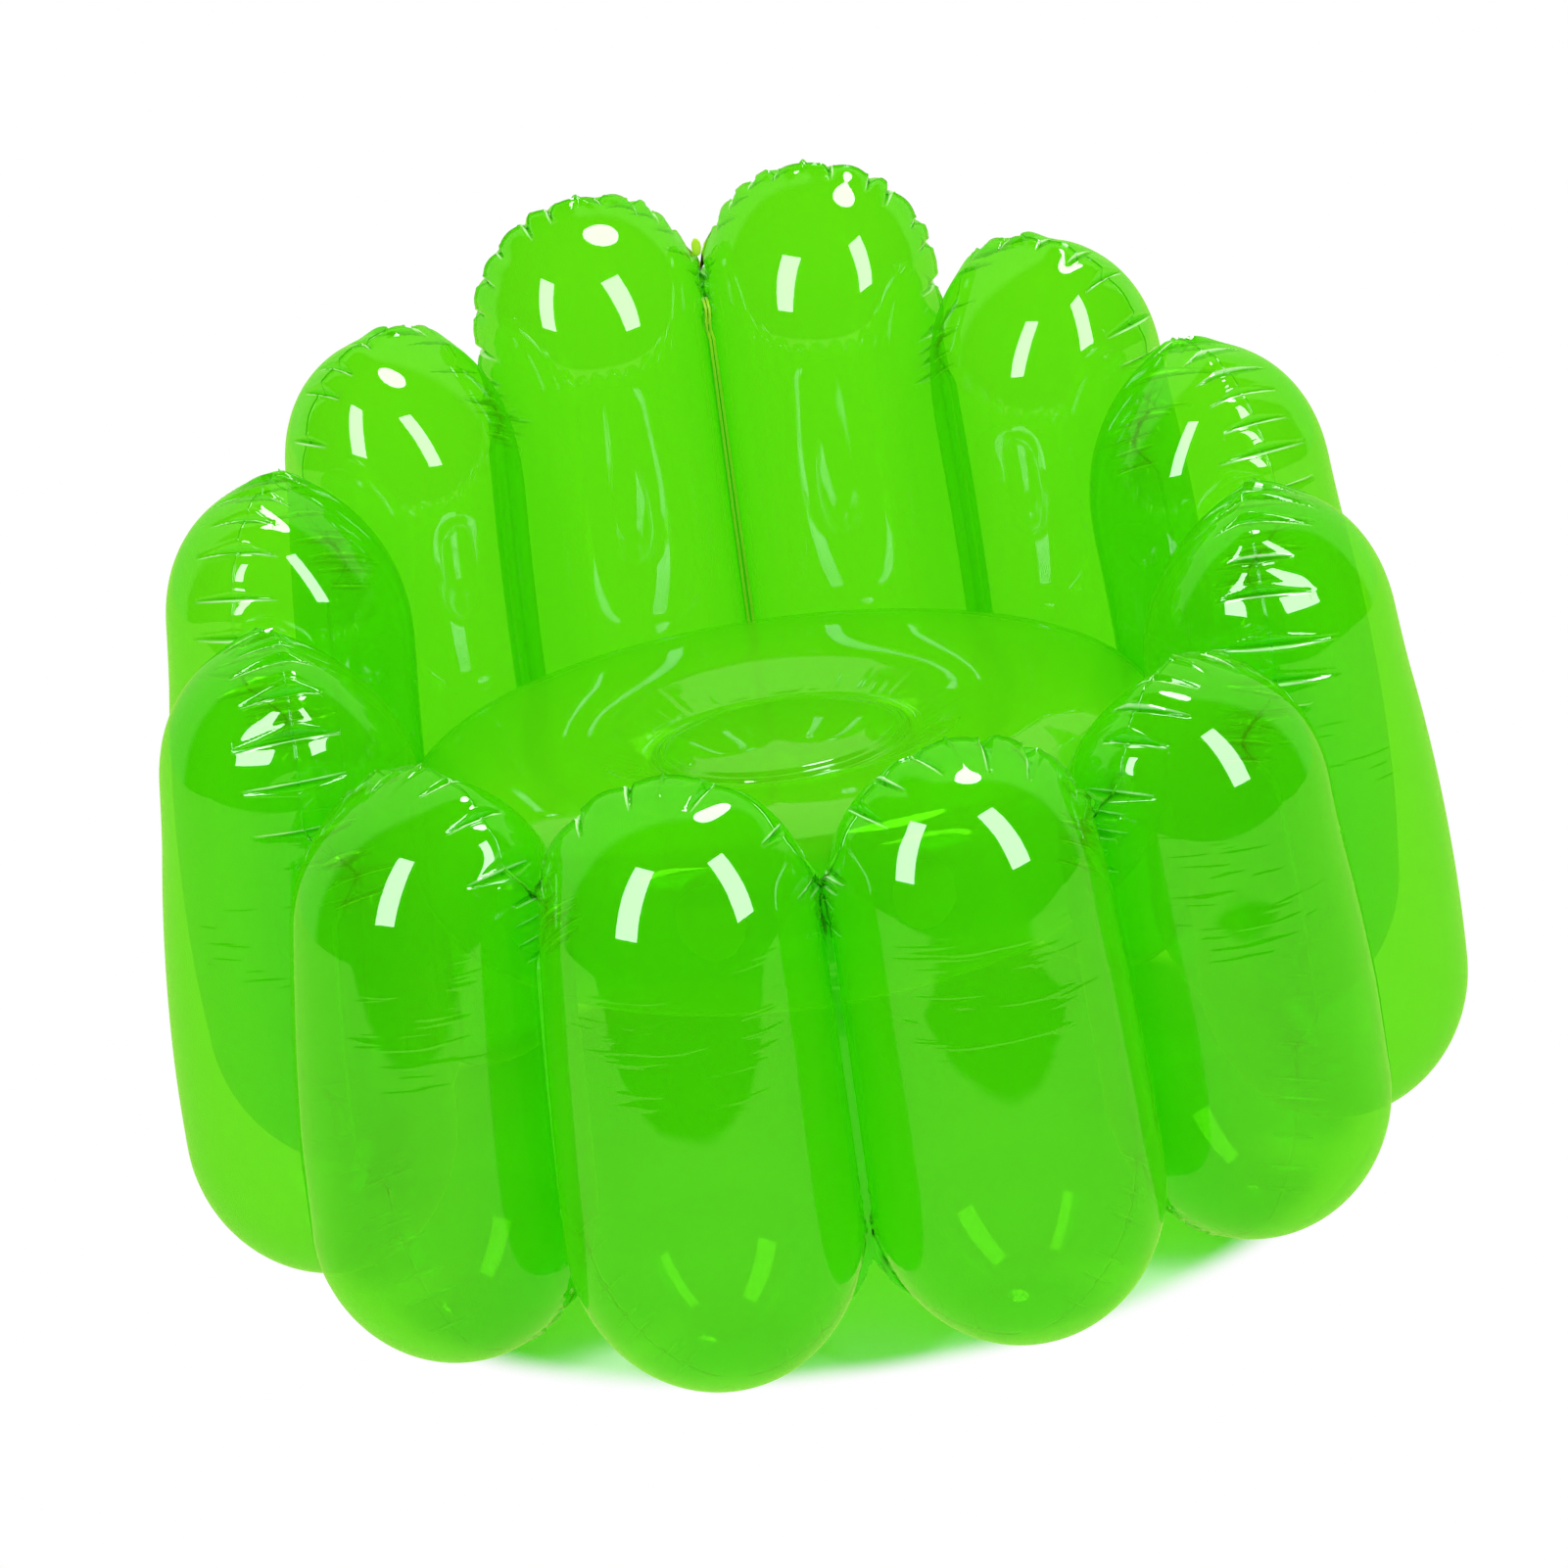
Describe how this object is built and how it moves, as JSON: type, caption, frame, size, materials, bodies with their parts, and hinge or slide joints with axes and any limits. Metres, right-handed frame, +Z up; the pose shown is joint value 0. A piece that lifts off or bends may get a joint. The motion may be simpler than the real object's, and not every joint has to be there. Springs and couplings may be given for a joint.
{
  "type": "inflatable tub chair",
  "caption": "Inflatable tub chair of clear green film: a ring of upright welded air tubes, low in front and high behind, round an air cushion seat, with push-in valves.",
  "frame": {"origin": "on the floor, at the centre of the chair's bounding box", "axes": "+Z up, +X to the right of a viewer who stands in front of the chair, +Y from the front of the chair to its back"},
  "size_m": [1.0382, 1.0396, 0.735],
  "materials": {
    "wall_film": "gloss",
    "weld_film": "gloss",
    "joining_seam": "gloss",
    "seat_film": "gloss",
    "valve_plastic": "gloss"
  },
  "bodies": {
    "chair": {"tube_front_left": "wall_film", "tube_front_right": "wall_film", "tube_front_corner_left": "wall_film", "tube_front_corner_right": "wall_film", "tube_side_front_left": "wall_film", "tube_side_front_right": "wall_film", "tube_side_back_left": "wall_film", "tube_side_back_right": "wall_film", "tube_back_corner_left": "wall_film", "tube_back_corner_right": "wall_film", "tube_back_left": "wall_film", "tube_back_right": "wall_film", "weld_front": "weld_film", "weld_front_to_front_corner_left": "weld_film", "weld_front_to_front_corner_right": "weld_film", "weld_front_corner_to_side_front_left": "weld_film", "weld_front_corner_to_side_front_right": "weld_film", "weld_side_front_to_side_back_left": "weld_film", "weld_side_front_to_side_back_right": "weld_film", "weld_side_back_to_back_corner_left": "weld_film", "weld_side_back_to_back_corner_right": "weld_film", "weld_back_corner_to_back_left": "weld_film", "weld_back_corner_to_back_right": "weld_film", "back_joining_seam": "joining_seam", "seat_top_sheet": "seat_film", "seat_bottom_sheet": "seat_film", "seat_tie_band": "seat_film", "wall_valve_flange": "valve_plastic", "seat_valve_flange": "valve_plastic"},
    "wall_valve_stem": {"wall_valve_stem": "valve_plastic"},
    "wall_valve_plug": {"wall_valve_plug": "valve_plastic"},
    "wall_valve_flap": {"wall_valve_flap": "valve_plastic"},
    "seat_valve_stem": {"seat_valve_stem": "valve_plastic"},
    "seat_valve_plug": {"seat_valve_plug": "valve_plastic"},
    "seat_valve_flap": {"seat_valve_flap": "valve_plastic"}
  },
  "joints": [
    {"name": "wall_valve_pull", "type": "slide", "parent": "chair", "child": "wall_valve_stem", "axis": [-0.4354, 0.893, -0.1141], "range_m": [0, 0.008]},
    {"name": "wall_plug_swing", "type": "hinge", "parent": "wall_valve_stem", "child": "wall_valve_plug", "pos_m": [0.24276, -0.18169, 0.34696], "axis": [0.8947, 0.4432, 0.0546], "range_deg": [0, 150]},
    {"name": "wall_flap_swing", "type": "hinge", "parent": "wall_valve_stem", "child": "wall_valve_flap", "pos_m": [0.24889, -0.19367, 0.34378], "axis": [-0.8947, -0.4432, -0.0546], "range_deg": [0, 35], "stiffness_Nm_per_rad": 0.00002},
    {"name": "seat_valve_pull", "type": "slide", "parent": "chair", "child": "seat_valve_stem", "axis": [0, 0, -1], "range_m": [0, 0.008]},
    {"name": "seat_plug_swing", "type": "hinge", "parent": "seat_valve_stem", "child": "seat_valve_plug", "pos_m": [0, 0.22575, 0.2035], "axis": [1, 0, 0], "range_deg": [0, 150]},
    {"name": "seat_flap_swing", "type": "hinge", "parent": "seat_valve_stem", "child": "seat_valve_flap", "pos_m": [0, 0.22105, 0.2165], "axis": [-1, 0, 0], "range_deg": [0, 35], "stiffness_Nm_per_rad": 0.00002}
  ]
}
